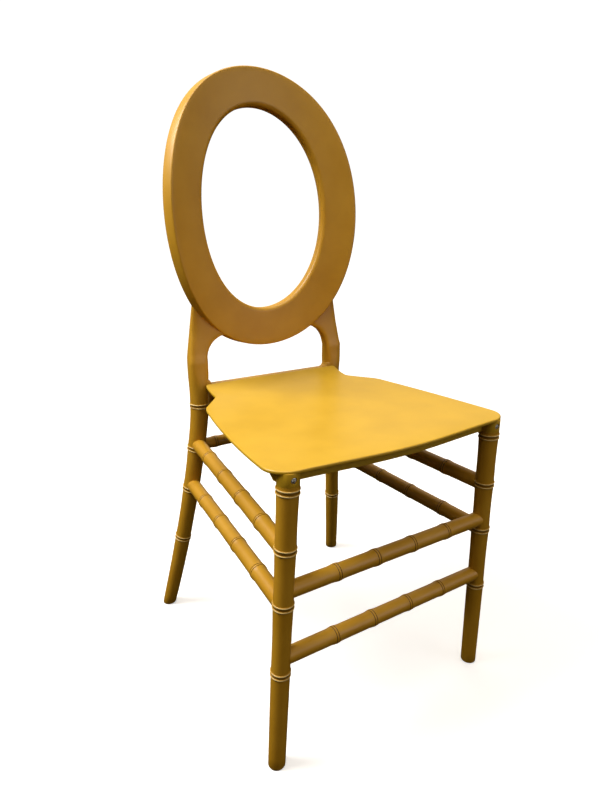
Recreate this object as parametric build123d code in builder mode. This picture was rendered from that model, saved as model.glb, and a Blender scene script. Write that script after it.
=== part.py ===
import os
from math import cos, radians, sin, sqrt

from build123d import *

# Oval-back side chair in the form of bamboo canes, moulded in polypropylene, in millimetres.
# X runs to the sitter's left, Y to the back and Z up, with the origin on the floor under the chair's middle.

# Stance
chair_depth = 459.0  # front of the seat to the back of the rear feet
seat_height = 441.0  # top of the seat's rim above the floor
front_leg_inset = 26.5  # a front leg's top inside the seat's widest line
front_splay = 16.5  # a front foot stands this far outside its leg's top
front_foot_setback = 31.0  # front foot's middle behind the front of the seat
front_leg_lean = 5.5  # the leg's top stands this much in front of its foot
rear_leg_spacing = 269.0  # between the two rear legs at the seat and above it
rear_splay = 57.5  # a rear foot stands this far outside its leg at the seat
rear_sweep = 66.5  # a rear foot stands this far behind its leg at the seat
splay_power = 1.2  # how the splay gathers towards the floor
sweep_power = 1.5  # how the sweep gathers towards the floor

# Bamboo nodes on the legs
node_drops = (287.0, 185.0, 107.0, 29.0)  # below the seat's rim
node_width = 3.0
node_rise = 1.1
node_root = 0.9  # how deep a node's ridge is rooted in its cane

# Front legs
front_foot_diameter = 24.0
front_leg_diameter = 28.2  # under the seat
neck_height = 8.5  # from the top node up to the seat's socket
spigot_diameter = 17.0
spigot_length = 12.0
spigot_clearance = 0.3

# Rear legs, round below the seat and flat-sided above it
rear_foot_diameter = 24.2
rear_leg_diameter = 32.0  # at the top node, and the upright's width
upright_thickness = 23.0
upright_rounding = 0.3  # corner radius of an upright as a share of its thickness
upright_rise = 47.0  # from the seat's rim to where the upright starts to widen into the shoulder
taper_length = 60.0  # over which the round leg fades into the flat-sided upright
taper_end = 0.45  # radius where the taper has vanished, as a share of the upright's thickness

# Oval ring of the back, bent round the sitter
ring_rise = 281.0  # ring's middle above the seat's rim
ring_set_back = 15.1  # ring's middle behind the middle of the uprights
ring_tilt = 3.7
ring_half_width = 169.0
ring_half_height = 221.0
ring_band_side = 58.5
ring_band_top = 57.0
ring_band_bottom = 64.5
ring_thickness = 20.5
ring_bend_radius = 425.0
ring_bevel = 2.5

# Shoulders between the uprights and the ring
arch_radius = 40.0
arch_slices = 3  # level slices that follow the arch
shoulder_rise = 130.0  # from the foot of the shoulder to its top behind the ring
shoulder_draw_in = 19.0  # how far the outer line comes in over the rise
shoulder_set_back = 14.0  # how far the front face falls back over the rise
set_back_power = 0.6  # most of it low down, to stay behind the ring's face
shoulder_top_thickness = 5.5
shoulder_slope = 12.0  # how far the inner line leans out above the arch

# Rear seat rail, moulded with the uprights
rail_height = 35.0
rail_thickness = 20.0
rail_lift = 6.0  # rail's top above the seat's rim
rail_set_back = 2.5  # rail's front face behind the front of the rear legs
rail_corner = 9.0  # rounding where the rail runs into a leg

# Stretchers
front_stretcher_diameter = 22.0
side_stretcher_diameter = 23.0
rear_stretcher_diameter = 19.0
front_stretcher_drops = {"upper": 167.0, "lower": 266.0}  # below the seat's rim
side_stretcher_drops = {"upper": 99.0, "lower": 176.0}  # at the rear legs
side_stretcher_fall = 10.0  # from the rear leg to the front leg
rear_stretcher_drop = 103.0
socket_clearance = 0.25

# Seat
seat_half_width = 197.0
seat_corner_inset = 31.0  # rear corner, in front of the notch, inside the widest line
seat_rear_inset = 5.0  # seat's edge behind the notch inside the middle of the rear legs
seat_thickness = 5.0
seat_dip = 1.5
seat_front_drop = 0.5
seat_back_lift = 10.0
seat_back_gap = 1.0  # between the seat's back edge and the rear legs
seat_ear_radius = 4.0
front_bow = 12.0
front_corner_radius = 28.0
side_bow = 7.0
notch_back = 41.0  # the notch ends this far in front of the back edge
notch_length = 44.0
notch_radius = 12.0
rear_corner_radius = 25.0
skirt_inset = 16.0
skirt_wall = 4.0
skirt_rise = 8.0  # the skirt's arches along the sides
rib_wall = 3.0
rib_spacing = 120.0

# Seat screws
screw_diameter = 4.0
screw_head_diameter = 8.0
screw_head_height = 2.6
screw_clearance = 0.15
screw_recess = 1.2  # the head lies this deep
screw_rise = 8.0  # above the foot of the seat's socket
screw_length = 12.0

# Tongues that hold the back of the seat in the rail
tongue_spacing = 150.0
tongue_width = 36.0
tongue_height = 8.0
tongue_length = 12.0
tongue_clearance = 0.3
boss_width = 44.0
boss_height = 16.0

# Derived places
sides = {"left": 1, "right": -1}
front_edge_y = -chair_depth / 2
node_heights = [seat_height - drop for drop in node_drops]
front_stretcher_heights = {label: seat_height - drop for label, drop in front_stretcher_drops.items()}
side_stretcher_heights = {label: seat_height - drop for label, drop in side_stretcher_drops.items()}
rear_stretcher_height = seat_height - rear_stretcher_drop
lowest_node = node_heights[0]
top_node = node_heights[-1]
neck_top = top_node + neck_height
upright_x = rear_leg_spacing / 2
upright_top = seat_height + upright_rise
front_leg_x = seat_half_width - front_leg_inset
seat_corner_half_width = seat_half_width - seat_corner_inset
seat_rear_half_width = upright_x - seat_rear_inset
rail_top = seat_height + rail_lift
rail_middle_z = rail_top - rail_height / 2
spigot_bore = spigot_diameter / 2 + spigot_clearance
on_end = (Align.CENTER, Align.CENTER, Align.MIN)
on_front = (Align.CENTER, Align.MIN, Align.CENTER)


# Front legs lean on a straight axis
def front_axis_point(height, side):
    share = height / neck_top
    across = front_leg_x + front_splay * (1 - share)
    return Vector(side * across, front_edge_y + front_foot_setback - front_leg_lean * share, height)


def front_leg_radius(height):
    return (front_foot_diameter + (front_leg_diameter - front_foot_diameter) * height / neck_top) / 2


def rear_leg_radius(height):
    return (rear_foot_diameter + (rear_leg_diameter - rear_foot_diameter) * height / top_node) / 2


# The rear feet lean as they reach the floor, so they stretch a little further back than their radius
foot_slope = rear_sweep * (1 - (1 - lowest_node / top_node) ** sweep_power) / lowest_node
foot_reach = rear_leg_radius(lowest_node / 2) * sqrt(1 + foot_slope**2)
upright_y = chair_depth / 2 - foot_reach - rear_sweep
seat_back_y = upright_y - rear_leg_diameter / 2 - seat_back_gap
rail_front = upright_y - rear_leg_diameter / 2 + rail_set_back
rail_back = rail_front + rail_thickness


# Rear legs sweep out and back towards the floor and stand upright above the top node
def rear_axis_point(height, side):
    share = 1 - height / top_node
    across = upright_x + rear_splay * share**splay_power
    return Vector(side * across, upright_y + rear_sweep * share**sweep_power, height)


# A straight stretch of cane from one point to another
def cane(start, end, radius):
    with Locations(Plane(origin=start, z_dir=end - start)):
        Cylinder(radius, (end - start).length, align=on_end)


# A bamboo node: a raised ridge round a cane
def node(point, heading, radius):
    half_root = node_width / 2 * (node_rise + node_root) / node_rise
    for way in (heading, -heading):
        with Locations(Plane(origin=point, z_dir=way)):
            Cone(radius + node_rise, radius - node_root, half_root, align=on_end)


# A leg of canes strung from node to node
def leg(axis_point, leg_radius, side):
    foot = axis_point(0, side)
    heading = (axis_point(lowest_node, side) - foot).normalized()
    start, low = foot - heading * leg_radius(0), 0
    for height in node_heights:
        end = axis_point(height, side)
        cane(start, end, leg_radius((low + height) / 2))
        node(end, (end - start).normalized(), leg_radius(height))
        start, low = end, height


# A stretcher's flat end sits in a round pocket, just deep enough to take its whole width
def pocket_depth(leg_radius, end_diameter):
    return sqrt(leg_radius**2 - (end_diameter / 2) ** 2)


def cut_pocket(leg_point, heading, leg_radius, end_diameter):
    bottom = leg_point + heading * pocket_depth(leg_radius, end_diameter)
    with Locations(Plane(origin=bottom, z_dir=heading)):
        Cylinder(end_diameter / 2 + socket_clearance, leg_radius, align=on_end, mode=Mode.SUBTRACT)


# Side stretchers fall a little from the rear legs to the front legs
def side_heading(height, side):
    front = front_axis_point(height - side_stretcher_fall, side)
    return (rear_axis_point(height, side) - front).normalized()


# Screw whose head sits on the plane, its shank running into the work
def screw(seat_plane, length):
    with Locations(seat_plane):
        Cylinder(screw_head_diameter / 2, screw_head_height, align=on_end)
        Cylinder(screw_diameter / 2, length, align=(Align.CENTER, Align.CENTER, Align.MAX))


def screw_hole(seat_plane, length):
    with Locations(seat_plane.offset(screw_head_height + screw_recess)):
        CounterBoreHole(
            screw_diameter / 2 + screw_clearance,
            screw_head_diameter / 2 + 2 * screw_clearance,
            screw_head_height + screw_recess,
            screw_head_height + screw_recess + length,
        )


# Front screws run back through the seat's socket into the leg's spigot
def front_screw_plane(side):
    middle = front_axis_point(neck_top, side)
    front = middle.Y - front_leg_diameter / 2 + screw_head_height + screw_recess
    return Plane(origin=(middle.X, front, neck_top + screw_rise), x_dir=(1, 0, 0), z_dir=(0, -1, 0))


def save(part, label):
    part.label = label
    export_step(part, f"parts/{label}.step")


os.makedirs("parts", exist_ok=True)

# Oval ring: an elliptical band with walls square to its bent face
tilt = radians(ring_tilt)
ring_middle = Vector(0, upright_y + ring_set_back, seat_height + ring_rise)
ring_face = Plane(origin=ring_middle, x_dir=(1, 0, 0), z_dir=(0, -cos(tilt), sin(tilt)))
ring_level = Plane(origin=ring_middle, x_dir=(1, 0, 0), z_dir=(0, sin(tilt), cos(tilt)))
ring_reach = ring_bend_radius - sqrt(ring_bend_radius**2 - ring_half_width**2)
hole_half_width = ring_half_width - ring_band_side
hole_half_height = ring_half_height - (ring_band_top + ring_band_bottom) / 2
hole_rise = (ring_band_bottom - ring_band_top) / 2


def oval_wall(half_width, half_height, rise, mode):
    flat_half_width = half_width / sqrt(1 - (half_width / ring_bend_radius) ** 2)
    ovals = []
    for forward in (ring_reach + ring_thickness, -2 * ring_thickness):
        with BuildSketch(ring_face.offset(forward)) as oval:
            with Locations((0, rise)):
                Ellipse(flat_half_width * (1 - forward / ring_bend_radius), half_height)
        ovals.append(oval.sketch)
    loft(ovals, ruled=True, mode=mode)


with BuildPart() as ring:
    oval_wall(ring_half_width, ring_half_height, 0, Mode.ADD)
    oval_wall(hole_half_width, hole_half_height, hole_rise, Mode.SUBTRACT)
    with BuildSketch(ring_level.offset(-2 * ring_half_height)):
        with Locations((0, -ring_bend_radius)):
            Circle(ring_bend_radius + ring_thickness)
            Circle(ring_bend_radius, mode=Mode.SUBTRACT)
    extrude(amount=4 * ring_half_height, mode=Mode.INTERSECT)
    front_face = ring.faces().filter_by(GeomType.CYLINDER).sort_by(Axis.Y)[0]
    chamfer(front_face.edges(), length=ring_bevel)

# Rear seat rail: a bar with rounded corners where it runs into the legs
rail_inner_x = upright_x - rear_leg_diameter / 2
with BuildPart() as rail:
    with BuildSketch(Plane.XZ.offset(-rail_back)):
        with BuildLine():
            for edge_z, way in ((rail_top, 1), (rail_top - rail_height, -1)):
                corner_z = edge_z + way * rail_corner
                Line((0, edge_z), (rail_inner_x - rail_corner, edge_z))
                RadiusArc((rail_inner_x - rail_corner, edge_z), (rail_inner_x, corner_z), -way * rail_corner)
                Line((rail_inner_x, corner_z), (upright_x, corner_z))
            Line((upright_x, rail_top + rail_corner), (upright_x, rail_top - rail_height - rail_corner))
            mirror(about=Plane.YZ)
        make_face()
    extrude(amount=rail_thickness)


# Shoulder: level slices that widen from the upright through an arch and run up behind the ring
def shoulder_slice(height, widening, side):
    share = (height - upright_top) / shoulder_rise
    inner = upright_x - rear_leg_diameter / 2 - widening
    outer = upright_x + rear_leg_diameter / 2 - shoulder_draw_in * share
    thickness = upright_thickness + (shoulder_top_thickness - upright_thickness) * share
    front = upright_y - upright_thickness / 2 + shoulder_set_back * share**set_back_power
    with BuildSketch(Plane(origin=(side * (inner + outer) / 2, front + thickness / 2, height))) as level:
        RectangleRounded(outer - inner, thickness, upright_rounding * thickness)
    return level.sketch


def shoulder(side):
    slices = [shoulder_slice(upright_top, 0, side)]
    for i in range(1, arch_slices + 1):
        angle = radians(90 * i / arch_slices)
        height = upright_top + arch_radius * sin(angle)
        slices.append(shoulder_slice(height, arch_radius * (1 - cos(angle)), side))
    slices.append(shoulder_slice(upright_top + shoulder_rise, arch_radius - shoulder_slope, side))
    loft(slices, ruled=True)


# Upright: a flat-sided bar that grows out of the round leg
def upright(side):
    with Locations((side * upright_x, upright_y, upright_top - taper_length)):
        Cone(rear_leg_diameter / 2, taper_end * upright_thickness, taper_length, align=on_end)
    with Locations((side * upright_x, upright_y, top_node)):
        Cylinder(rear_leg_diameter / 2, upright_top - taper_length - top_node, align=on_end)
    with BuildSketch(Plane.XY.offset(top_node)) as bar:
        with Locations((side * upright_x, upright_y)):
            RectangleRounded(rear_leg_diameter, upright_thickness, upright_rounding * upright_thickness)
    extrude(bar.sketch, amount=upright_top - top_node)


# Back frame: ring, shoulders, rear legs and rail in one moulding
with BuildPart() as back_frame:
    for side in sides.values():
        leg(rear_axis_point, rear_leg_radius, side)
        upright(side)
        shoulder(side)
    split(bisect_by=Plane.XY)
    add(rail.part)
    add(ring.part)
    for side in sides.values():
        for height in side_stretcher_heights.values():
            leg_point = rear_axis_point(height, side)
            leg_radius = rear_leg_radius(height)
            cut_pocket(leg_point, -side_heading(height, side), leg_radius, side_stretcher_diameter)
        leg_point = rear_axis_point(rear_stretcher_height, side)
        leg_radius = rear_leg_radius(rear_stretcher_height)
        cut_pocket(leg_point, Vector(-side, 0, 0), leg_radius, rear_stretcher_diameter)
        with Locations((side * tongue_spacing / 2, rail_front, rail_middle_z)):
            Box(
                tongue_width + 2 * tongue_clearance,
                tongue_length + tongue_clearance,
                tongue_height + 2 * tongue_clearance,
                align=on_front,
                mode=Mode.SUBTRACT,
            )
save(back_frame.part, "back_frame")

# Front legs: leaning canes with a spigot for the seat
for label, side in sides.items():
    neck = front_axis_point(neck_top, side)
    with BuildPart() as front_leg:
        leg(front_axis_point, front_leg_radius, side)
        overrun = front_axis_point(neck_top + neck_height, side)
        cane(front_axis_point(top_node, side), overrun, front_leg_diameter / 2)
        split(bisect_by=Plane.XY)
        split(bisect_by=Plane.XY.offset(neck_top), keep=Keep.BOTTOM)
        with Locations(neck):
            Cylinder(spigot_diameter / 2, spigot_length, align=on_end)
        for height in side_stretcher_heights.values():
            front_height = height - side_stretcher_fall
            leg_point = front_axis_point(front_height, side)
            leg_radius = front_leg_radius(front_height)
            cut_pocket(leg_point, side_heading(height, side), leg_radius, side_stretcher_diameter)
        for height in front_stretcher_heights.values():
            leg_point = front_axis_point(height, side)
            cut_pocket(leg_point, Vector(-side, 0, 0), front_leg_radius(height), front_stretcher_diameter)
        screw_hole(front_screw_plane(side), screw_length)
    save(front_leg.part, f"front_leg_{label}")

# Stretchers: straight canes from pocket to pocket
for label, height in front_stretcher_heights.items():
    reach = Vector(pocket_depth(front_leg_radius(height), front_stretcher_diameter), 0, 0)
    with BuildPart() as front_stretcher:
        start = front_axis_point(height, sides["right"]) + reach
        cane(start, front_axis_point(height, sides["left"]) - reach, front_stretcher_diameter / 2)
    save(front_stretcher.part, f"front_stretcher_{label}")

for label, height in side_stretcher_heights.items():
    front_height = height - side_stretcher_fall
    front_reach = pocket_depth(front_leg_radius(front_height), side_stretcher_diameter)
    rear_reach = pocket_depth(rear_leg_radius(height), side_stretcher_diameter)
    for side_label, side in sides.items():
        heading = side_heading(height, side)
        with BuildPart() as side_stretcher:
            start = front_axis_point(front_height, side) + heading * front_reach
            cane(start, rear_axis_point(height, side) - heading * rear_reach, side_stretcher_diameter / 2)
        save(side_stretcher.part, f"side_stretcher_{label}_{side_label}")

reach = Vector(pocket_depth(rear_leg_radius(rear_stretcher_height), rear_stretcher_diameter), 0, 0)
with BuildPart() as rear_stretcher:
    start = rear_axis_point(rear_stretcher_height, sides["right"]) + reach
    cane(start, rear_axis_point(rear_stretcher_height, sides["left"]) - reach, rear_stretcher_diameter / 2)
save(rear_stretcher.part, "rear_stretcher")

# Plan of the seat, drawn in from its outline by an inset, for the left half and mirrored
corner_y = front_edge_y + front_bow
notch_y = seat_back_y - notch_back
rear_corner_y = notch_y - notch_length
side_middle_y = (corner_y + front_corner_radius + rear_corner_y) / 2
slab_front = front_edge_y - seat_thickness  # the panel's slab overruns the outline that trims it


def seat_plan(inset):
    front_corner = (seat_half_width - inset, corner_y + inset)
    side_middle = (seat_half_width - side_bow - inset, side_middle_y)
    rear_corner = (seat_corner_half_width - inset, rear_corner_y)
    notch = (seat_rear_half_width - inset, notch_y)
    ear = (seat_rear_half_width - inset, seat_back_y - inset)
    with BuildSketch() as plan:
        with BuildLine():
            TangentArc((0, front_edge_y + inset), front_corner, tangent=(1, 0))
            ThreePointArc(front_corner, side_middle, rear_corner)
            Polyline(rear_corner, notch, ear, (0, seat_back_y - inset))
            mirror(about=Plane.YZ)
        make_face()
        roundings = {
            front_corner: front_corner_radius - inset,
            rear_corner: rear_corner_radius - inset,
            notch: notch_radius + inset,
            ear: seat_ear_radius - inset,
        }
        for corner, radius in roundings.items():
            if radius > 0:
                spots = [Vector(side * corner[0], corner[1]) for side in sides.values()]
                fillet([plan.vertices().sort_by_distance(spot)[0] for spot in spots], radius=radius)
    return plan.sketch


# Line of the seat from front to back, some way below its top: a dish between a front roll and a back lip
def seat_line(depth):
    front_roll_y = corner_y + front_corner_radius
    middle_y = (front_roll_y + notch_y) / 2
    height = seat_height - depth
    dish = ThreePointArc((front_roll_y, height), (middle_y, height - seat_dip), (notch_y, height))
    TangentArc(dish @ 1, (seat_back_y, height + seat_back_lift), tangent=dish % 1)
    TangentArc(dish @ 0, (slab_front, height - seat_front_drop), tangent=-(dish % 0))


# Seat underside: skirt, ribs and sockets, arched along the sides and trimmed to the panel's line
leg_neck = front_axis_point(neck_top, 1)
seat_side = Plane.YZ.offset(-seat_half_width)
arch_y = leg_neck.Y + front_leg_diameter / 2
with BuildPart() as underside:
    with BuildSketch(Plane.XY.offset(neck_top)):
        add(seat_plan(skirt_inset))
        add(seat_plan(skirt_inset + skirt_wall), mode=Mode.SUBTRACT)
        with GridLocations(rib_spacing, 1, 2, 1):
            Rectangle(rib_wall, 2 * chair_depth)
        add(seat_plan(skirt_inset), mode=Mode.INTERSECT)
    extrude(amount=seat_height - neck_top + seat_back_lift)
    with BuildSketch(seat_side):
        with BuildLine():
            arch_middle = ((arch_y + rear_corner_y) / 2, neck_top + skirt_rise)
            ThreePointArc((arch_y, neck_top), arch_middle, (rear_corner_y, neck_top))
            Line((arch_y, neck_top), (rear_corner_y, neck_top))
        make_face()
    extrude(amount=2 * seat_half_width, mode=Mode.SUBTRACT)
    for side in sides.values():
        with Locations(front_axis_point(neck_top, side)):
            Cylinder(front_leg_diameter / 2, seat_height - neck_top, align=on_end)
    with BuildSketch(seat_side):
        with BuildLine():
            seat_line(seat_thickness / 2)
            Polyline(
                (slab_front, seat_height - seat_front_drop - seat_thickness / 2),
                (slab_front, 2 * seat_height),
                (seat_back_y, 2 * seat_height),
                (seat_back_y, seat_height + seat_back_lift - seat_thickness / 2),
            )
        make_face()
    extrude(amount=2 * seat_half_width, mode=Mode.SUBTRACT)

# Seat: a dished panel cut to the outline, with its underside, rear bosses, bores and screw holes
with BuildPart() as seat:
    with BuildSketch(seat_side):
        with BuildLine():
            for depth in (0, seat_thickness):
                seat_line(depth)
            for end_y, lift in ((slab_front, -seat_front_drop), (seat_back_y, seat_back_lift)):
                Line((end_y, seat_height + lift), (end_y, seat_height + lift - seat_thickness))
        make_face()
    extrude(amount=2 * seat_half_width)
    with BuildSketch():
        add(seat_plan(0))
    extrude(amount=2 * seat_height, mode=Mode.INTERSECT)
    add(underside.part)
    boss_front = seat_back_y - skirt_inset - skirt_wall / 2
    for side in sides.values():
        with Locations((side * tongue_spacing / 2, boss_front, rail_middle_z)):
            Box(boss_width, rail_front - boss_front, boss_height, align=on_front)
            Box(tongue_width, rail_front - boss_front + tongue_length, tongue_height, align=on_front)
        with Locations(front_axis_point(neck_top, side)):
            Cylinder(spigot_bore, spigot_length + spigot_clearance, align=on_end, mode=Mode.SUBTRACT)
        screw_hole(front_screw_plane(side), screw_length)
save(seat.part, "seat")

# Seat screws, one through each front socket
with BuildPart() as seat_screws:
    for side in sides.values():
        screw(front_screw_plane(side), screw_length)
save(seat_screws.part, "seat_screws")
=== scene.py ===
from math import atan, cos, pi, radians, sin, sqrt, tan

import bpy
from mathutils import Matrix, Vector


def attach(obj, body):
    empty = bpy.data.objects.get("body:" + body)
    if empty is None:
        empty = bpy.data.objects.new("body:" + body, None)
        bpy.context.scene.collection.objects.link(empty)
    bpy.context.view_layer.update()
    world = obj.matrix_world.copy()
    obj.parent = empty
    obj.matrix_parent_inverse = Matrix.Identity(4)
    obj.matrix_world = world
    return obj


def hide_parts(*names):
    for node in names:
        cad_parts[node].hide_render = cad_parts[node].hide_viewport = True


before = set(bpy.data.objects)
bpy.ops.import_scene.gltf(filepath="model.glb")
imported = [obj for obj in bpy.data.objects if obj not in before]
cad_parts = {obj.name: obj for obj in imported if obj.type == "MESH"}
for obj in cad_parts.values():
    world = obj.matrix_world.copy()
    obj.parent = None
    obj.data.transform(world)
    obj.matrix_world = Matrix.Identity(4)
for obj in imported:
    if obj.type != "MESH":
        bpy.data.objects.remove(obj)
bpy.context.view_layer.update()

mm = 0.001  # sizes below are in millimetres, Blender works in metres


# tools shared by all pieces

def clearSelection():
    if bpy.context.object and bpy.context.object.mode != "OBJECT":
        bpy.ops.object.mode_set(mode="OBJECT")
    bpy.ops.object.select_all(action="DESELECT")


def pick(*pieces):
    clearSelection()
    for piece in pieces:
        piece.select_set(True)
    bpy.context.view_layer.objects.active = pieces[-1]


def editAll(piece):
    pick(piece)
    bpy.ops.object.mode_set(mode="EDIT")
    bpy.ops.mesh.select_all(action="SELECT")


def endEdit():
    bpy.ops.object.mode_set(mode="OBJECT")


def applyModifier(piece, kind, **settings):
    pick(piece)
    modifier = piece.modifiers.new(kind.title(), kind)
    for name, value in settings.items():
        setattr(modifier, name, value)
    bpy.ops.object.modifier_apply(modifier=modifier.name)


def roundEdges(piece, width, segments, sharperThan, **settings):
    applyModifier(piece, "BEVEL", width=width * mm, segments=segments, limit_method="ANGLE",
                  angle_limit=radians(sharperThan), **settings)


def combine(piece, others, operation):
    for other in others:
        applyModifier(piece, "BOOLEAN", object=other, operation=operation, solver="EXACT")
        bpy.data.objects.remove(other, do_unlink=True)


def mergeDoubles(piece):
    editAll(piece)
    bpy.ops.mesh.remove_doubles(threshold=0.01 * mm)
    endEdit()


def faceOutwards(piece):
    mergeDoubles(piece)
    editAll(piece)
    bpy.ops.mesh.normals_make_consistent(inside=False)
    endEdit()


# an open sheet is turned so that its faces look the given way, then thickened behind them
def thicken(piece, thickness, looksRight):
    faceOutwards(piece)
    if not looksRight(piece.data.polygons):
        editAll(piece)
        bpy.ops.mesh.flip_normals()
        endEdit()
    applyModifier(piece, "SOLIDIFY", thickness=thickness * mm, offset=-1, use_even_offset=True)


# an open loop of points, to be shaped and extruded into a sheet
def addLoop(name, count):
    clearSelection()
    bpy.ops.mesh.primitive_circle_add(vertices=count, radius=1, fill_type="NOTHING", location=(0, 0, 0))
    loop = bpy.context.object
    loop.name = name
    return loop


# blocks and drums start round the origin and are then moved within their mesh, all in millimetres
def addBlock(size):
    clearSelection()
    bpy.ops.mesh.primitive_cube_add(size=1, location=(0, 0, 0))
    block = bpy.context.object
    editAll(block)
    bpy.ops.transform.resize(value=[length * mm for length in size], center_override=(0, 0, 0))
    endEdit()
    return block


def addDrum(radius, depth, sides, lying):
    clearSelection()
    bpy.ops.mesh.primitive_cylinder_add(vertices=sides, radius=radius * mm, depth=depth * mm,
                                        location=(0, 0, 0), rotation=(pi / 2 if lying else 0, 0, 0))
    bpy.ops.object.transform_apply(location=True, rotation=True, scale=True)
    return bpy.context.object


def shift(piece, way):
    editAll(piece)
    bpy.ops.transform.translate(value=[step * mm for step in way])
    endEdit()
    return piece


def finishPiece(piece, node, material, crease):
    mergeDoubles(piece)
    bpy.ops.object.shade_smooth_by_angle(angle=radians(crease))
    piece.data.materials.clear()
    piece.data.materials.append(material)
    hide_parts(node)
    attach(piece, "root")


def mirrored(piece, name):
    pick(piece)
    bpy.ops.object.duplicate()
    other = bpy.context.object
    other.name = name
    editAll(other)
    bpy.ops.transform.resize(value=(-1, 1, 1), center_override=(0, 0, 0))
    endEdit()
    faceOutwards(other)
    return other


def easeIn(value):  # 0 to 1 with a soft start and end
    value = min(max(value, 0), 1)
    return value * value * (3 - 2 * value)


# materials

def linearColour(hexCode):
    channels = [int(hexCode[i:i + 2], 16) / 255 for i in (0, 2, 4)]
    return [c / 12.92 if c <= 0.04045 else ((c + 0.055) / 1.055) ** 2.4 for c in channels] + [1]


def newMaterial(name):
    material = bpy.data.materials.new(name)
    material.use_nodes = True
    return material, material.node_tree.nodes["Principled BSDF"]


def addNode(material, kind, settings, links):
    node = material.node_tree.nodes.new(kind)
    for name, value in settings.items():
        if name in node.inputs:
            node.inputs[name].default_value = value
        else:
            setattr(node, name, value)
    for name, source in links.items():
        material.node_tree.links.new(source, node.inputs[name])
    return node


# Injection-moulded polypropylene, coloured through: an even satin ochre with faint flow clouds,
# a fine spark-eroded grain, and at the nodes of the canes painted highlights on the crests and painted shade
# in the grooves
def mouldedPolypropylene(name, deepHex, paleHex, seed):
    look = {"flowSize": 55, "flowFrom": 0.3, "flowTo": 0.7, "dullLow": 0.34, "dullHigh": 0.44,
            "grainSize": 0.9, "grainDepth": 0.05, "grainStrength": 0.35,  # coarser than real so it shows
            # the crest colour is a painted highlight and the groove colour painted shade
            "iorPlastic": 1.49, "crestHighlightHex": "E6CD8A", "crestShare": 0.8,
            "grooveShadeHex": "43270A", "grooveShare": 0.85}
    material, shader = newMaterial(name)
    shader.inputs["IOR"].default_value = look["iorPlastic"]
    spot = addNode(material, "ShaderNodeTexCoord", {}, {})
    place = addNode(material, "ShaderNodeMapping", {"Location": (seed, 0.37 * seed, 0)},
                    {"Vector": spot.outputs["Object"]})
    flow = addNode(material, "ShaderNodeTexNoise", {"Scale": 1 / (look["flowSize"] * mm), "Detail": 3.0},
                   {"Vector": place.outputs["Vector"]})
    tint = addNode(material, "ShaderNodeValToRGB", {}, {"Fac": flow.outputs["Fac"]})
    tint.color_ramp.elements[0].position = look["flowFrom"]
    tint.color_ramp.elements[0].color = linearColour(deepHex)
    tint.color_ramp.elements[1].position = look["flowTo"]
    tint.color_ramp.elements[1].color = linearColour(paleHex)
    dull = addNode(material, "ShaderNodeMapRange", {"To Min": look["dullLow"], "To Max": look["dullHigh"]},
                   {"Value": flow.outputs["Fac"]})
    grain = addNode(material, "ShaderNodeTexNoise", {"Scale": 1 / (look["grainSize"] * mm), "Detail": 2.0},
                    {"Vector": place.outputs["Vector"]})
    relief = addNode(material, "ShaderNodeBump",
                     {"Strength": look["grainStrength"], "Distance": look["grainDepth"] * mm},
                     {"Height": grain.outputs["Fac"]})
    tone = addNode(material, "ShaderNodeAttribute", {"attribute_name": "nodeTone"}, {})
    paintedHighlight = addNode(material, "ShaderNodeMapRange", {"To Max": look["crestShare"]},
                     {"Value": tone.outputs["Fac"]})
    paintedShade = addNode(material, "ShaderNodeMapRange", {"To Max": look["grooveShare"], "From Max": -1.0},
                    {"Value": tone.outputs["Fac"]})
    crests = addNode(material, "ShaderNodeMixRGB", {"Color2": linearColour(look["crestHighlightHex"])},
                     {"Fac": paintedHighlight.outputs["Result"], "Color1": tint.outputs["Color"]})
    grooves = addNode(material, "ShaderNodeMixRGB", {"Color2": linearColour(look["grooveShadeHex"])},
                      {"Fac": paintedShade.outputs["Result"], "Color1": crests.outputs["Color"]})
    links = material.node_tree.links
    links.new(grooves.outputs["Color"], shader.inputs["Base Color"])
    links.new(dull.outputs["Result"], shader.inputs["Roughness"])
    links.new(relief.outputs["Normal"], shader.inputs["Normal"])
    return material


# Zinc-plated steel: pale grey, fine turning marks that spread the highlight
def zincPlatedSteel():
    look = {"markSize": 0.6, "deepHex": "DADAD5", "paleHex": "F6F5F0", "dullLow": 0.36, "dullHigh": 0.5}
    material, shader = newMaterial("zincPlatedSteel")
    shader.inputs["Metallic"].default_value = 1
    spot = addNode(material, "ShaderNodeTexCoord", {}, {})
    marks = addNode(material, "ShaderNodeTexNoise", {"Scale": 1 / (look["markSize"] * mm), "Detail": 2.0},
                    {"Vector": spot.outputs["Object"]})
    tint = addNode(material, "ShaderNodeValToRGB", {}, {"Fac": marks.outputs["Fac"]})
    tint.color_ramp.elements[0].color = linearColour(look["deepHex"])
    tint.color_ramp.elements[1].color = linearColour(look["paleHex"])
    dull = addNode(material, "ShaderNodeMapRange", {"To Min": look["dullLow"], "To Max": look["dullHigh"]},
                   {"Value": marks.outputs["Fac"]})
    material.node_tree.links.new(tint.outputs["Color"], shader.inputs["Base Color"])
    material.node_tree.links.new(dull.outputs["Result"], shader.inputs["Roughness"])
    return material


framePlastic = mouldedPolypropylene("ochrePolypropyleneFrame", "BA871C", "C59225", 0.4)
# the seat's ochre is a paler, yellower copy of the frame's: painted light, standing for the hue of its
# brightly lit top
seatPlasticLitCopy = mouldedPolypropylene("ochrePolypropyleneSeat", "C49920", "CDA229", 1.7)
screwSteel = zincPlatedSteel()
print("materials ready")


# bamboo canes: a straight blank is extruded ring by ring, then laid on its axis

cane = {"legAround": 40, "stretcherAround": 32, "crease": 50, "legNodes": (154, 256, 334, 412)}


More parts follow.
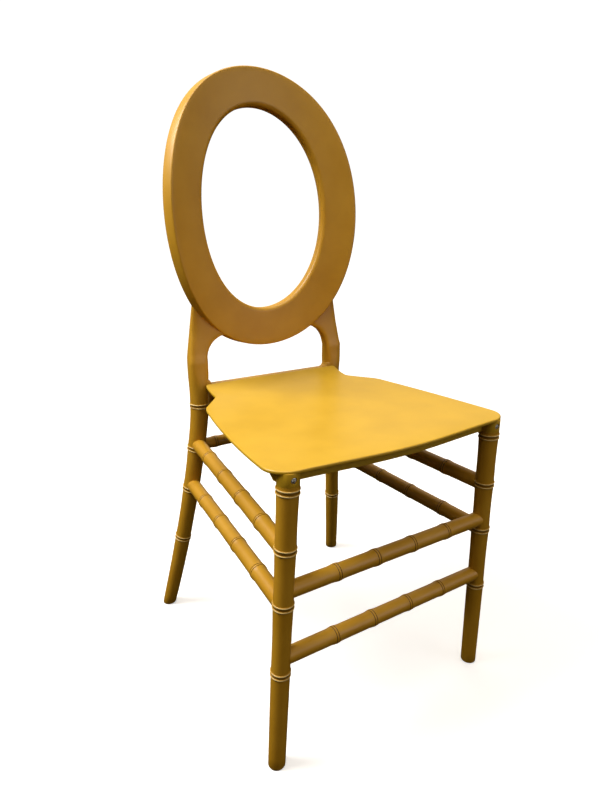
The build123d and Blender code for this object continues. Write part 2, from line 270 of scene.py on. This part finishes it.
def caneBlank(name, stations, around):
    clearSelection()
    bpy.ops.mesh.primitive_circle_add(vertices=around, radius=1, fill_type="NGON", location=(0, 0, 0))
    blank = bpy.context.object
    blank.name = name
    bpy.ops.object.mode_set(mode="EDIT")
    bpy.ops.transform.translate(value=(0, 0, stations[0]))
    for low, high in zip(stations, stations[1:]):
        bpy.ops.mesh.extrude_region_move(TRANSFORM_OT_translate={"value": (0, 0, high - low)})
    endEdit()
    return blank


# section(station) gives the middle, the two half axes and how square the outline is, 2 being round
# tone(station) is 1 where a crest gets painted highlight and below 0 where a groove gets painted shade
def layCane(blank, section, tone):
    tones = blank.data.attributes.new("nodeTone", "FLOAT", "POINT")
    for vertex in blank.data.vertices:
        x, y, station = vertex.co
        middle, sideways, forwards, square = section(station)
        full = (abs(x) ** square + abs(y) ** square) ** (-1 / square)
        vertex.co = (middle + (sideways * x + forwards * y) * full) * mm
        tones.data[vertex.index].value = tone(station)
    faceOutwards(blank)


def roundSection(middle, heading, radius):
    level = Vector((0, 0, 1)) if abs(heading.z) < 0.5 else Vector((1, 0, 0))
    sideways = (level - heading * heading.dot(level)).normalized() * radius
    return middle, sideways, heading.cross(sideways), 2


# two beads with a valley between them at each node of a leg

bead = {"apart": 6.0, "width": 2.3, "height": 1.1, "valley": 0.5, "crestShare": 0.7, "darkShare": 0.55,
        "darkTone": -0.65, "cuts": (-1.15, -1.0, -0.6, 0, 0.6, 1.0, 1.15), "valleyCut": 1.5, "reach": 4.6,
        "spans": 8, "lastSpan": 40}


def fromCrest(distance):  # 0 on the crest of the nearer bead, 1 at its edge
    return abs(abs(distance) - bead["apart"] / 2) / (bead["width"] / 2)


def beadRise(distance):
    away = fromCrest(distance)
    if away < 1:
        return bead["height"] * sqrt(1 - away * away)
    return -bead["valley"] if abs(distance) < bead["apart"] / 2 else 0


# each bead's crest gets a painted highlight and the middle of the valley between the beads painted shade
def beadTone(height):
    distance = min((height - node for node in cane["legNodes"]), key=abs)
    if fromCrest(distance) < bead["crestShare"]:
        return 1
    return bead["darkTone"] if abs(distance) < bead["darkShare"] * bead["apart"] / 2 else 0


def legStations(top, footRound):
    stations = [0, 0.3 * footRound, footRound]
    low = footRound
    for node in cane["legNodes"]:
        span = (node - bead["reach"] - low) / bead["spans"]
        stations += [low + span * i for i in range(1, bead["spans"] + 1)]
        stations += [node - bead["apart"] / 2 + cut for cut in bead["cuts"]]
        stations += [node - bead["valleyCut"], node, node + bead["valleyCut"]]
        stations += [node + bead["apart"] / 2 + cut for cut in bead["cuts"]]
        low = node + bead["reach"]
    return [round(station, 3) for station in stations] + [low, top]


# the cane swells towards its top, draws in between two nodes and is rounded at its foot
def legRadius(height, leg, share):
    nodes = cane["legNodes"]
    plain = leg["footRadius"] + (leg["topRadius"] - leg["footRadius"]) * share
    below = max([0] + [node for node in nodes if node <= height])
    above = min([node for node in nodes if node > height] + [nodes[-1] + bead["lastSpan"]])
    drawn = 0
    if below and height < nodes[-1]:
        drawn = leg["waist"] * sin(pi * (height - below) / (above - below))
    rounding = 0
    if height < leg["footRound"]:
        rounding = leg["footRound"] * (1 - sqrt(max(0, 1 - (1 - height / leg["footRound"]) ** 2)))
    return plain - drawn + max(beadRise(height - node) for node in nodes) - rounding


# front legs: slanting canes, level at the foot and under the seat

frontLeg = {"foot": (187, -198.5), "top": (170.5, -204.0), "height": 420.5, "footRadius": 12.0,
            "topRadius": 14.1, "waist": 0.6, "footRound": 1.6, "levelFoot": 40, "levelTop": 4}


def frontLegAxis(height, side):
    foot, top = Vector(frontLeg["foot"]), Vector(frontLeg["top"])
    spot = foot.lerp(top, height / frontLeg["height"])
    return Vector((side * spot.x, spot.y, height))


def frontLegSection(height):
    slant = (frontLegAxis(frontLeg["height"], 1) - frontLegAxis(0, 1)).normalized()
    slanted = min(easeIn(height / frontLeg["levelFoot"]),
                  easeIn((frontLeg["height"] - height) / frontLeg["levelTop"]))
    heading = Vector((0, 0, 1)).lerp(slant, slanted).normalized()
    return roundSection(frontLegAxis(height, 1), heading,
                        legRadius(height, frontLeg, height / frontLeg["height"]))


frontLegLeft = caneBlank("frontLegLeft", legStations(frontLeg["height"], frontLeg["footRound"]),
                         cane["legAround"])
layCane(frontLegLeft, frontLegSection, beadTone)
frontLegRight = mirrored(frontLegLeft, "frontLegRight")
finishPiece(frontLegLeft, "front_leg_left", framePlastic, cane["crease"])
finishPiece(frontLegRight, "front_leg_right", framePlastic, cane["crease"])
print("front legs done")

# the rear legs' axis, which the stretchers need first

rearLeg = {"upright": (134.5, 149.87), "splay": 57.5, "splayPower": 1.2, "sweep": 66.5, "sweepPower": 1.5,
           "footRadius": 12.1, "topRadius": 16.0, "waist": 0.6, "footRound": 1.6, "levelFoot": 40,
           "topNode": 412, "roundTop": 422, "blankTop": 424, "beadReach": 24}


def rearLegAxis(height, side):
    share = max(0, 1 - height / rearLeg["topNode"])
    x = rearLeg["upright"][0] + rearLeg["splay"] * share ** rearLeg["splayPower"]
    y = rearLeg["upright"][1] + rearLeg["sweep"] * share ** rearLeg["sweepPower"]
    return Vector((side * x, y, height))


# stretchers: plain canes with a slight swelling and two fine grooves at each node

stretcher = {"swell": 1.0, "swellLength": 10, "grooveApart": 3.8, "grooveWidth": 1.4, "grooveDepth": 0.8,
             "darkShare": 0.35, "cuts": (0, 1.2, 1.55, 1.9, 2.25, 2.6, 3.2, 4.4, 6, 8, 10),
             "nodeSteps": (-1.5, -0.5, 0.5, 1.5)}
frontStretcher = {"heights": {"upper": 274, "lower": 175}, "radius": 11, "pitch": 65, "hold": 7.4}
sideStretcher = {"heights": {"upper": 342, "lower": 265}, "fall": 10, "radius": 11.5, "pitch": 72,
                 "hold": 8}
rearStretcher = {"height": 338, "radius": 9.5, "pitch": 72, "hold": 11}


def stretcherRise(distance):
    swell = stretcher["swell"] * (1 - easeIn(abs(distance) / stretcher["swellLength"]))
    away = abs(abs(distance) - stretcher["grooveApart"] / 2) / (stretcher["grooveWidth"] / 2)
    return swell - (stretcher["grooveDepth"] * (1 - away) if away < 1 else 0)


# the bottom of each groove gets painted shade
def grooveTone(distance):
    away = abs(abs(distance) - stretcher["grooveApart"] / 2)
    return -1 if away < stretcher["darkShare"] * stretcher["grooveWidth"] else 0


# from the axis of one leg to that of another, each end held back to the bottom of its pocket
def layStretcher(name, node, first, second, sizes):
    heading = (second - first).normalized()
    start, end = first + heading * sizes["hold"], second - heading * sizes["hold"]
    length = (end - start).length
    nodes = [length / 2 + sizes["pitch"] * step for step in stretcher["nodeSteps"]]
    spots = [spot + side * cut for spot in nodes for cut in stretcher["cuts"] for side in (-1, 1)]
    stations = sorted({0, length, *(round(spot, 3) for spot in spots if 0 < spot < length)})

    def section(along):
        rise = max(stretcherRise(along - spot) for spot in nodes)
        return roundSection(start.lerp(end, along / length), heading, sizes["radius"] + rise)

    piece = caneBlank(name, stations, cane["stretcherAround"])
    layCane(piece, section, lambda along: min(grooveTone(along - spot) for spot in nodes))
    finishPiece(piece, node, framePlastic, cane["crease"])


for label, height in frontStretcher["heights"].items():
    layStretcher("frontStretcher" + label.title(), "front_stretcher_" + label,
                 frontLegAxis(height, -1), frontLegAxis(height, 1), frontStretcher)
for label, height in sideStretcher["heights"].items():
    for sideName, side in {"left": 1, "right": -1}.items():
        layStretcher("sideStretcher" + label.title() + sideName.title(),
                     "side_stretcher_" + label + "_" + sideName,
                     frontLegAxis(height - sideStretcher["fall"], side), rearLegAxis(height, side),
                     sideStretcher)
layStretcher("rearStretcher", "rear_stretcher", rearLegAxis(rearStretcher["height"], -1),
             rearLegAxis(rearStretcher["height"], 1), rearStretcher)
print("stretchers done")

# oval ring of the back: a band between two ovals, bent round the sitter, thickened and rounded

ring = {"middle": (0, 164.97, 722), "tilt": 3.7, "halfWidth": 169, "halfHeight": 220.95,
        "holeWidth": 110.5, "holeHeight": 160.25, "holeRise": 3.75, "thickness": 20.5, "bend": 425,
        "rounding": 2.4, "holeRounding": 7, "loops": 7, "around": 160}


def flatHalf(half):  # half width before the bend
    return half / sqrt(1 - (half / ring["bend"]) ** 2)


def ringOval(out):  # half width, half height and rise, from the hole at 0 to the outside at 1
    return (flatHalf(ring["holeWidth"]) * (1 - out) + flatHalf(ring["halfWidth"]) * out,
            ring["holeHeight"] * (1 - out) + ring["halfHeight"] * out,
            ring["holeRise"] * (1 - out))


backFrame = addLoop("backFrame", ring["around"])
ovals = [ringOval(i / ring["loops"]) for i in range(ring["loops"] + 1)]
editAll(backFrame)
bpy.ops.transform.resize(value=(ovals[0][0], ovals[0][1], 1), center_override=(0, 0, 0))
bpy.ops.transform.translate(value=(0, ovals[0][2], 0))
for last, oval in zip(ovals, ovals[1:]):
    bpy.ops.mesh.extrude_edges_move(TRANSFORM_OT_translate={"value": (0, 0, 0)})
    bpy.ops.transform.resize(value=(oval[0] / last[0], oval[1] / last[1], 1),
                             center_override=(0, last[2], 0))
    bpy.ops.transform.translate(value=(0, oval[2] - last[2], 0))
endEdit()
lean = radians(ring["tilt"])
ringFront, ringUp = Vector((0, -cos(lean), sin(lean))), Vector((0, sin(lean), cos(lean)))
for vertex in backFrame.data.vertices:
    turn = atan(vertex.co.x / ring["bend"])
    bent = Vector((ring["bend"] * sin(turn), 0, 0)) + ringFront * ring["bend"] * (1 - cos(turn))
    vertex.co = (Vector(ring["middle"]) + bent + ringUp * vertex.co.y) * mm
thicken(backFrame, ring["thickness"], lambda faces: sum(face.normal.y for face in faces) < 0)
editAll(backFrame)
bpy.ops.mesh.select_all(action="DESELECT")
endEdit()
for vertex in backFrame.data.vertices[:ring["around"]]:  # the first loop is the front edge of the hole
    vertex.select = True
bpy.ops.object.mode_set(mode="EDIT")
bpy.ops.mesh.bevel(offset=ring["holeRounding"] * mm, segments=6, affect="EDGES")
endEdit()
roundEdges(backFrame, ring["rounding"], 4, 50)
print("ring done")

# rear legs: round canes that square up into the uprights and widen through an arch behind the ring

shoulder = {"foot": 488, "arch": 40, "archStep": 10, "rise": 130, "drawIn": 19, "setBack": 14,
            "setBackPower": 0.6, "thickness": 23, "topThickness": 5.5, "slope": 12, "square": 4.5,
            "squareFrom": 436, "squareLength": 52, "uprightCuts": (436, 444, 452, 460, 468, 476, 482, 488),
            "upperCuts": (540, 556, 575, 595, 618)}


def rearLegSection(height):
    axis = rearLegAxis(height, 1)
    if height <= rearLeg["roundTop"]:
        heading = (rearLegAxis(height + 1, 1) - rearLegAxis(max(height - 1, 0), 1)).normalized()
        heading = Vector((0, 0, 1)).lerp(heading, easeIn(height / rearLeg["levelFoot"])).normalized()
        return roundSection(axis, heading, legRadius(height, rearLeg, min(1, height / rearLeg["topNode"])))
    squared = easeIn((height - shoulder["squareFrom"]) / shoulder["squareLength"])
    power = 2 + (shoulder["square"] - 2) * squared
    halfWidth = rearLeg["topRadius"]
    halfThick = halfWidth + (shoulder["thickness"] / 2 - halfWidth) * squared
    if height <= shoulder["foot"]:
        return axis, Vector((halfWidth, 0, 0)), Vector((0, halfThick, 0)), power
    climb = height - shoulder["foot"]
    share = climb / shoulder["rise"]
    if climb <= shoulder["arch"]:
        widening = shoulder["arch"] - sqrt(max(0, shoulder["arch"] ** 2 - climb ** 2))
    else:
        above = (climb - shoulder["arch"]) / (shoulder["rise"] - shoulder["arch"])
        widening = shoulder["arch"] - shoulder["slope"] * above
    inner = axis.x - halfWidth - widening
    outer = axis.x + halfWidth - shoulder["drawIn"] * share
    thick = shoulder["thickness"] + (shoulder["topThickness"] - shoulder["thickness"]) * share
    front = axis.y - shoulder["thickness"] / 2 + shoulder["setBack"] * share ** shoulder["setBackPower"]
    middle = Vector(((inner + outer) / 2, front + thick / 2, height))
    return middle, Vector(((outer - inner) / 2, 0, 0)), Vector((0, thick / 2, 0)), power


archAngles = range(shoulder["archStep"], 91, shoulder["archStep"])
archCuts = [shoulder["foot"] + shoulder["arch"] * sin(radians(angle)) for angle in archAngles]
rearStations = legStations(rearLeg["blankTop"], rearLeg["footRound"])
rearStations += [*shoulder["uprightCuts"], *archCuts, *shoulder["upperCuts"]]
rearLegLeft = caneBlank("rearLegLeft", rearStations, cane["legAround"])
layCane(rearLegLeft, rearLegSection, beadTone)
rearLegRight = mirrored(rearLegLeft, "rearLegRight")

# rear rail: a bar whose ends flare into the legs

rail = {"front": 136.37, "thickness": 20, "top": 447, "height": 35, "inner": 118.5, "corner": 9,
        "cornerStep": 15, "reach": 8, "rounding": 2.5}

railMiddle = rail["top"] - rail["height"] / 2
rearRail = addBlock((2 * (rail["inner"] - rail["corner"]), rail["thickness"], rail["height"]))
shift(rearRail, (0, rail["front"] + rail["thickness"] / 2, railMiddle))
for side in (-1, 1):
    lastReach, lastHeight = 0, rail["height"]
    for angle in range(rail["cornerStep"], 91, rail["cornerStep"]):
        reach = rail["corner"] * sin(radians(angle))
        height = rail["height"] + 2 * rail["corner"] * (1 - cos(radians(angle)))
        editAll(rearRail)
        bpy.ops.mesh.select_all(action="DESELECT")
        endEdit()
        endFace = max(rearRail.data.polygons, key=lambda face: side * face.center.x)
        endFace.select = True
        bpy.ops.object.mode_set(mode="EDIT")
        bpy.ops.mesh.select_mode(type="FACE")
        stepOut = (side * (reach - lastReach) * mm, 0, 0)
        bpy.ops.mesh.extrude_region_move(TRANSFORM_OT_translate={"value": stepOut})
        bpy.ops.transform.resize(value=(1, 1, height / lastHeight), center_override=(0, 0, railMiddle * mm))
        lastReach, lastHeight = reach, height
    bpy.ops.mesh.extrude_region_move(TRANSFORM_OT_translate={"value": (side * rail["reach"] * mm, 0, 0)})
bpy.ops.mesh.select_mode(type="VERT")
endEdit()
faceOutwards(rearRail)
roundEdges(rearRail, rail["rounding"], 3, 60)
combine(backFrame, [rearLegLeft, rearLegRight, rearRail], "UNION")


# the union drops the painted highlight and shade of the beads, so they are set again from each point's place
# on its leg
def rearBeadTone(spot):
    side = 1 if spot.x > 0 else -1
    node = min(cane["legNodes"], key=lambda height: abs(height - spot.z))
    heading = (rearLegAxis(node + 1, side) - rearLegAxis(node - 1, side)).normalized()
    away = spot - rearLegAxis(node, side)
    return beadTone(node + away.dot(heading)) if away.length < rearLeg["beadReach"] else 0


attributes = backFrame.data.attributes
tones = attributes.get("nodeTone") or attributes.new("nodeTone", "FLOAT", "POINT")
for vertex in backFrame.data.vertices:
    tones.data[vertex.index].value = rearBeadTone(vertex.co / mm)
finishPiece(backFrame, "back_frame", framePlastic, 38)
print("back frame done", len(backFrame.data.polygons))

# seat: a thin dished panel with rounded rim, skirt, ribs and sockets below

seat = {"halfWidth": 197, "cornerHalfWidth": 166, "rearHalfWidth": 129.5, "frontY": -217.5,
        "rearCornerY": 47.87, "notchY": 91.87, "backY": 132.87, "frontBow": 12, "sideBow": 7,
        "frontRadius": 28, "rearRadius": 30, "notchRadius": 14, "earRadius": 5, "arcSteps": 10,
        "earSteps": 5, "lineStep": 11, "rim": 441, "thickness": 5, "dip": 1.5, "frontDrop": 0.5,
        "backLift": 10, "dish": 3, "dishHalfWidth": 180, "dishY": -55, "dishHalfLength": 150, "rounding": 1.8,
        "centreY": -40, "loops": (0.984, 0.94, 0.86, 0.74, 0.6, 0.45, 0.3, 0.15, 0.05), "crease": 38}


def cornerArc(before, corner, after, radius, steps):
    toBefore, toAfter = (before - corner).normalized(), (after - corner).normalized()
    half = toBefore.angle(toAfter) / 2
    centre = corner + (toBefore + toAfter).normalized() * (radius / sin(half))
    first = corner + toBefore * (radius / tan(half)) - centre
    last = corner + toAfter * (radius / tan(half)) - centre
    return [centre + first.slerp(last, i / steps) * radius for i in range(steps + 1)]


# the eight corners are rounded and joined, then the front and the sides are bowed
def seatOutline(inset):
    arc = seat["arcSteps"]
    half = [(seat["halfWidth"] - inset, seat["frontY"] + inset, seat["frontRadius"] - inset, arc),
            (seat["cornerHalfWidth"] - inset, seat["rearCornerY"], seat["rearRadius"] - inset, arc),
            (seat["rearHalfWidth"] - inset, seat["notchY"], seat["notchRadius"] + inset, arc),
            (seat["rearHalfWidth"] - inset, seat["backY"] - inset, seat["earRadius"], seat["earSteps"])]
    corners = half + [(-x, y, radius, steps) for x, y, radius, steps in reversed(half)]
    spots = [Vector((x, y)) for x, y, radius, steps in corners]
    bends = []
    for i, (x, y, radius, steps) in enumerate(corners):
        bends.append(cornerArc(spots[i - 1], spots[i], spots[(i + 1) % len(spots)], radius, steps))
    line = []
    for bendNow, bendNext in zip(bends, bends[1:] + bends[:1]):
        gap = bendNext[0] - bendNow[-1]
        cuts = max(1, round(gap.length / seat["lineStep"]))
        line += bendNow + [bendNow[-1] + gap * i / cuts for i in range(1, cuts)]
    bowed = []
    for spot in line:
        alongSide = (spot.y - seat["frontY"]) / (seat["rearCornerY"] - seat["frontY"])
        onSide = min(max(alongSide, 0), 1)
        onFront = max(0, 1 - (spot.y - seat["frontY"] - inset) / seat["frontRadius"])
        across = cos(pi / 2 * spot.x / seat["halfWidth"]) ** 2
        x = spot.x * (1 + seat["sideBow"] / seat["halfWidth"] * 4 * onSide * (1 - onSide))
        bowed.append((x, spot.y - seat["frontBow"] * onFront * across))
    return bowed


def seatTop(y):
    rollY = seat["frontY"] + seat["frontRadius"]
    half = (seat["notchY"] - rollY) / 2
    slope = 2 * seat["dip"] / half
    if y < rollY:
        out, reach = rollY - y, rollY - seat["frontY"] + seat["frontBow"]
        return seat["rim"] + slope * out - (slope * reach + seat["frontDrop"]) * (out / reach) ** 2
    if y > seat["notchY"]:
        out, reach = y - seat["notchY"], seat["backY"] - seat["notchY"]
        return seat["rim"] + slope * out + (seat["backLift"] - slope * reach) * (out / reach) ** 2
    return seat["rim"] - seat["dip"] * (1 - ((y - rollY - half) / half) ** 2)


# a loop of the outline, ready in edit mode with all of it selected
def outlineLoop(name, inset):
    line = seatOutline(inset)
    piece = addLoop(name, len(line))
    for vertex, (x, y) in zip(piece.data.vertices, line):
        vertex.co = (x, y, 0)
    editAll(piece)
    return piece


seatPanel = outlineLoop("seatPanel", 0)
lastScale = 1
for scale in seat["loops"]:
    shrink = scale / lastScale
    bpy.ops.mesh.extrude_edges_move(TRANSFORM_OT_translate={"value": (0, 0, 0)})
    bpy.ops.transform.resize(value=(shrink, shrink, 1), center_override=(0, seat["centreY"], 0))
    lastScale = scale
bpy.ops.mesh.edge_face_add()
endEdit()
for vertex in seatPanel.data.vertices:
    x, y = vertex.co.xy
    acrossDish = max(0, 1 - (x / seat["dishHalfWidth"]) ** 2)
    alongDish = max(0, 1 - ((y - seat["dishY"]) / seat["dishHalfLength"]) ** 2)
    vertex.co = (x * mm, y * mm, (seatTop(y) - seat["dish"] * acrossDish * alongDish) * mm)
thicken(seatPanel, seat["thickness"], lambda faces: sum(face.normal.z for face in faces) > 0)
roundEdges(seatPanel, seat["rounding"], 4, 50, use_clamp_overlap=False)
print("seat panel done")

# skirt under the rim, straight at the front and arched along the sides

skirtWall = {"inset": 16, "wall": 4, "foot": 420.5, "rise": 8, "frontRun": 18, "backRun": 60}

archY = frontLeg["top"][1] + frontLeg["topRadius"]


def skirtFoot(y):
    fromLeg = easeIn((y - archY) / skirtWall["frontRun"])
    fromCorner = easeIn((seat["rearCornerY"] - y) / skirtWall["backRun"])
    return skirtWall["foot"] + skirtWall["rise"] * min(fromLeg, fromCorner)


skirt = outlineLoop("skirt", skirtWall["inset"])
bpy.ops.mesh.extrude_edges_move(TRANSFORM_OT_translate={"value": (0, 0, -1)})
endEdit()
for vertex in skirt.data.vertices:
    x, y, low = vertex.co
    height = skirtFoot(y) if low < -0.5 else seatTop(y) - seat["thickness"] / 2
    vertex.co = (x * mm, y * mm, height * mm)
thicken(skirt, skirtWall["wall"], lambda faces: sum(face.normal.x * face.center.x for face in faces) > 0)

# ribs, the bosses of the rear tongues and the sockets over the front legs

rib = {"x": 60, "y": -50.5, "z": 429.7, "size": (3, 317, 9.5)}
boss = {"x": 75, "y": 125.5, "z": 429.5, "size": (44, 20.6, 16)}
socket = {"x": frontLeg["top"][0], "y": frontLeg["top"][1], "z": 429.1, "radius": frontLeg["topRadius"],
          "depth": 17.2, "rounding": 0.35, "sides": 48}


def placed(piece, place, side):
    return shift(piece, (side * place["x"], place["y"], place["z"]))


seatBelow = [skirt]
for side in (-1, 1):
    seatBelow.append(placed(addBlock(rib["size"]), rib, side))
    seatBelow.append(placed(addBlock(boss["size"]), boss, side))
    cup = placed(addDrum(socket["radius"], socket["depth"], socket["sides"], False), socket, side)
    roundEdges(cup, socket["rounding"], 2, 60)
    seatBelow.append(cup)
combine(seatPanel, seatBelow, "UNION")

# screw recesses in the front of the sockets, and the screws

screw = {"height": 428.5, "headRadius": 4.0, "headHeight": 2.6, "rounding": 2.2, "recess": 1.2,
         "recessRadius": 4.3, "recessLength": 7.8, "slot": 1.1, "slotLength": 4.6, "slotDepth": 1.2,
         "sides": 40, "crease": 30}
screwX = frontLeg["top"][0]
screwFront = frontLeg["top"][1] - frontLeg["topRadius"] + screw["recess"]
recesses = []
for side in (-1, 1):
    recess = addDrum(screw["recessRadius"], screw["recessLength"], screw["sides"], True)
    recesses.append(shift(recess, (side * screwX, screwFront - screw["recess"], screw["height"])))
combine(seatPanel, recesses, "DIFFERENCE")
finishPiece(seatPanel, "seat", seatPlasticLitCopy, seat["crease"])

screwHeads = []
for side in (-1, 1):
    head = addDrum(screw["headRadius"], screw["headHeight"], screw["sides"], True)
    roundEdges(head, screw["rounding"], 8, 60)
    slots = []
    for wide, high in ((screw["slotLength"], screw["slot"]), (screw["slot"], screw["slotLength"])):
        slot = addBlock((wide, 2 * screw["slotDepth"], high))
        slots.append(shift(slot, (0, -screw["headHeight"] / 2, 0)))
    combine(head, slots, "DIFFERENCE")
    screwHeads.append(shift(head, (side * screwX, screwFront + screw["headHeight"] / 2, screw["height"])))
pick(*screwHeads)
bpy.ops.object.join()
seatScrews = bpy.context.object
seatScrews.name = "seatScrews"
finishPiece(seatScrews, "seat_screws", screwSteel, screw["crease"])
print("seat and screws done")

# floor, wall, sky and light

studio = {"radius": 20, "floorDrop": 0.0004, "floorHex": "E9E7E2", "floorNear": 0.5, "floorFar": 0.9,
          "fadeFrom": 0.5, "fadeTo": 4.0, "wallHex": "000000", "wallGlow": 1.06,
          "skyHex": "FFEDD4", "skyTop": 0.45, "skyLow": 0.08, "skyBelow": 0.015, "horizonSoft": 0.03,
          "skyBack": 0.6, "backWay": (0.45, 0.83, 0.33), "backFrom": 0.6}
studioLights = {
    "keyLeft": {"place": (-1.5, 0.6, 2.3), "aim": (0, 0, 0.5), "size": 1.2, "power": 70,
                "hexCode": "FFFFFF"},
    "topFill": {"place": (0, 0, 2.4), "aim": (0, 0, 0.4), "size": 1.4, "power": 17,
                "hexCode": "FFFFFF"},
    "frontFill": {"place": (-0.6, -0.9, 2.0), "aim": (0, 0, 0.6), "size": 0.9, "power": 4.6,
                  "hexCode": "FFFAF0"},
    "sheenRight": {"place": (1.4, -2.2, 1.2), "aim": (0, 0, 0.6), "size": 1.6, "power": 11,
                   "hexCode": "EEF1FF"}}


# seen by the eye alone, so that the white room does not flatten the light on the chair
def glowBoard(piece, name, hexCode, glow):
    piece.name = name
    piece.visible_diffuse = False
    piece.visible_glossy = False
    paint, shader = newMaterial(name + "Matt")
    shader.inputs["Roughness"].default_value = 0.9
    shader.inputs["Specular IOR Level"].default_value = 0.1
    shader.inputs["Base Color"].default_value = linearColour(hexCode)
    shader.inputs["Emission Color"].default_value = linearColour("FFFFFF")
    shader.inputs["Emission Strength"].default_value = glow
    piece.data.materials.append(paint)
    return paint, shader


clearSelection()
bpy.ops.mesh.primitive_circle_add(vertices=96, radius=studio["radius"], fill_type="NGON",
                                  location=(0, 0, -studio["floorDrop"]))
floorPaint, floorShader = glowBoard(bpy.context.object, "studioFloor", studio["floorHex"],
                                    studio["floorNear"])
# the floor glows faintly near the chair and more strongly far off, a painted light that lets it meet the
# glowing wall at the horizon
floorSpot = addNode(floorPaint, "ShaderNodeTexCoord", {}, {})
far = addNode(floorPaint, "ShaderNodeVectorMath", {"operation": "LENGTH"},
              {"Vector": floorSpot.outputs["Object"]})
fade = addNode(floorPaint, "ShaderNodeMapRange",
               {"From Min": studio["fadeFrom"], "From Max": studio["fadeTo"],
                "To Min": studio["floorNear"], "To Max": studio["floorFar"]},
               {"Value": far.outputs["Value"]})
floorPaint.node_tree.links.new(fade.outputs["Result"], floorShader.inputs["Emission Strength"])
bpy.ops.mesh.primitive_uv_sphere_add(segments=64, ring_count=32, radius=studio["radius"],
                                     location=(0, 0, 0))
studioWall = bpy.context.object
glowBoard(studioWall, "studioWall", studio["wallHex"], studio["wallGlow"])
studioWall.visible_shadow = False

# the sky brightens towards its top, glows softly behind the chair and is dark below the floor
world = bpy.data.worlds.new("studioWorld")
bpy.context.scene.world = world
world.use_nodes = True
worldShader = world.node_tree.nodes["Background"]
way = addNode(world, "ShaderNodeTexCoord", {}, {})
parts = addNode(world, "ShaderNodeSeparateXYZ", {}, {"Vector": way.outputs["Generated"]})
skyLight = addNode(world, "ShaderNodeMapRange", {"To Min": studio["skyLow"], "To Max": studio["skyTop"]},
                   {"Value": parts.outputs["Z"]})
above = addNode(world, "ShaderNodeMapRange",
                {"From Min": -studio["horizonSoft"], "From Max": 0.0, "To Min": studio["skyBelow"]},
                {"Value": parts.outputs["Z"]})
behind = addNode(world, "ShaderNodeVectorMath", {"operation": "DOT_PRODUCT"}, {})
behind.inputs[1].default_value = studio["backWay"]
backGlow = addNode(world, "ShaderNodeMapRange",
                   {"From Min": studio["backFrom"], "To Max": studio["skyBack"]},
                   {"Value": behind.outputs["Value"]})
total = addNode(world, "ShaderNodeMath", {"operation": "ADD"}, {})
strength = addNode(world, "ShaderNodeMath", {"operation": "MULTIPLY"}, {})
for source, target in ((way.outputs["Generated"], behind.inputs[0]),
                       (skyLight.outputs["Result"], total.inputs[0]),
                       (backGlow.outputs["Result"], total.inputs[1]),
                       (total.outputs["Value"], strength.inputs[0]),
                       (above.outputs["Result"], strength.inputs[1]),
                       (strength.outputs["Value"], worldShader.inputs["Strength"])):
    world.node_tree.links.new(source, target)
worldShader.inputs["Color"].default_value = linearColour(studio["skyHex"])


def softLight(name, place, aim, size, power, hexCode):
    lamp = bpy.data.lights.new(name, "AREA")
    lamp.shape, lamp.size, lamp.energy = "DISK", size, power
    lamp.color = linearColour(hexCode)[:3]
    holder = bpy.data.objects.new(name, lamp)
    bpy.context.collection.objects.link(holder)
    holder.location = place
    holder.rotation_euler = (Vector(aim) - Vector(place)).to_track_quat("-Z", "Y").to_euler()


for lightName, light in studioLights.items():
    softLight(lightName, **light)

# camera at the photograph's viewing angle, its focal length in pixels of a frame 800 high

view = {"place": (-0.4750, -0.7187, 0.7099), "turn": (72.50, -0.16, -31.85), "focal": 568.58,
        "frameHeight": 800, "film": 36}

camera = bpy.data.cameras.new("photoCamera")
camera.lens = view["focal"] * view["film"] / view["frameHeight"]
camera.clip_start = 0.01
cameraHolder = bpy.data.objects.new("photoCamera", camera)
bpy.context.collection.objects.link(cameraHolder)
cameraHolder.location = view["place"]
cameraHolder.rotation_euler = [radians(angle) for angle in view["turn"]]
bpy.context.scene.camera = cameraHolder
bpy.context.scene.view_settings.view_transform = "Standard"

print("scene ready")
